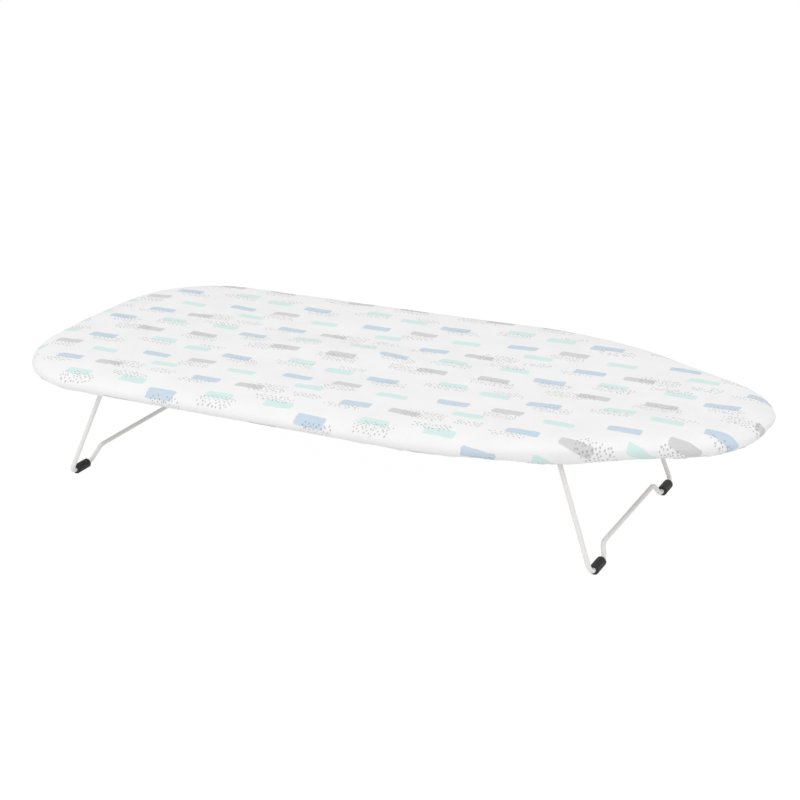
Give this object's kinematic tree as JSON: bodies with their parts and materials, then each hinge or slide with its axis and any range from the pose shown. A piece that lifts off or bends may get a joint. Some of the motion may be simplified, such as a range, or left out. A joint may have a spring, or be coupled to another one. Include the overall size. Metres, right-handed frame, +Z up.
{
  "type": "table-top ironing board",
  "caption": "Low ironing board for a table: padded board with printed cotton cover and rounded nose, on folding bent-wire legs with fluted plastic foot sleeves.",
  "frame": {"origin": "on the table, under the middle of the board's length and width", "axes": "+X along the board to its rounded nose, +Y to its left side, +Z up"},
  "size_m": [0.7299, 0.31, 0.128],
  "materials": {
    "cover_cloth": "matte printed cotton",
    "foam": "open-cell foam",
    "elastic": "braided elastic",
    "deck_steel": "satin powder coat",
    "bracket_steel": "satin powder coat",
    "rivet_metal": "bare, dull",
    "leg_wire_coating": "gloss powder coat",
    "foot_plastic": "satin moulded",
    "cap_plastic": "matte"
  },
  "bodies": {
    "board": {"printed_cover": "cover_cloth", "foam_pad": "foam", "elastic_cord": "elastic", "mesh_sheet": "deck_steel", "rim_tube": "deck_steel", "bracket_rivets": "rivet_metal", "front_cross_channel": "deck_steel", "front_left_bracket": "bracket_steel", "front_right_bracket": "bracket_steel", "rear_cross_channel": "deck_steel", "rear_left_bracket": "bracket_steel", "rear_right_bracket": "bracket_steel"},
    "front_leg": {"front_leg_wire": "leg_wire_coating", "front_left_foot_sleeve": "foot_plastic", "front_left_wire_cap": "cap_plastic", "front_right_foot_sleeve": "foot_plastic", "front_right_wire_cap": "cap_plastic"},
    "rear_leg": {"rear_leg_wire": "leg_wire_coating", "rear_left_foot_sleeve": "foot_plastic", "rear_left_wire_cap": "cap_plastic", "rear_right_foot_sleeve": "foot_plastic", "rear_right_wire_cap": "cap_plastic"}
  },
  "joints": [
    {"name": "front_leg_fold", "type": "hinge", "parent": "board", "child": "front_leg", "pos_m": [0.21, 0, 0.107], "axis": [0, 1, 0], "range_deg": [0, 113]},
    {"name": "rear_leg_fold", "type": "hinge", "parent": "board", "child": "rear_leg", "pos_m": [-0.257, 0, 0.107], "axis": [0, -1, 0], "range_deg": [0, 118]}
  ]
}
